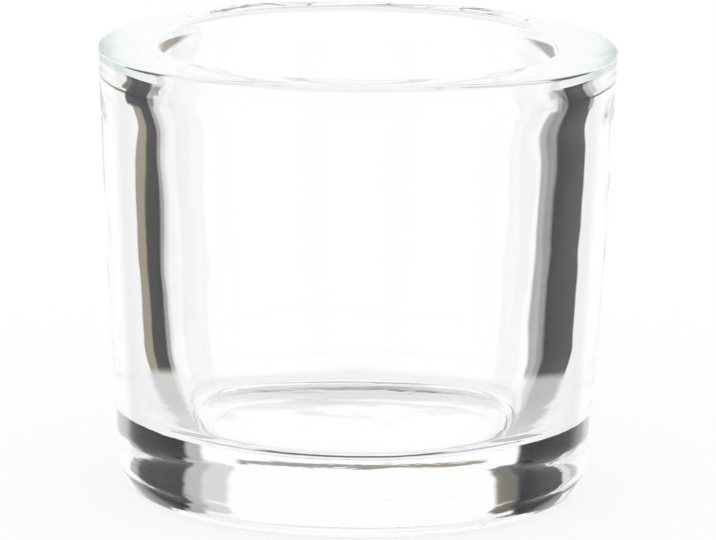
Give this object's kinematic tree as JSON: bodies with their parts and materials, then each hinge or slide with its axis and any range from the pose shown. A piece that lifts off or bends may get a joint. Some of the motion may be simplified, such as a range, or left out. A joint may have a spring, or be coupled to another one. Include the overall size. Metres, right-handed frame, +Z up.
{
  "type": "glass candle holder",
  "caption": "Heavy clear glass candle holder, a tapered open cup with a thick wall, a rounded lip and a solid glass base.",
  "frame": {"origin": "middle of the underside, in the plane of the ring that it stands on", "axes": "+Z up along the axis of the cup, out of its mouth; the cup is round, so X and Y are level and free to choose"},
  "size_m": [0.09, 0.09, 0.079],
  "materials": {
    "clear_glass": "clear pressed soda-lime glass, fire polished, with faint mould waves and a green cast in its depth"
  },
  "bodies": {
    "root": {"glass_body": "clear_glass"}
  },
  "joints": []
}
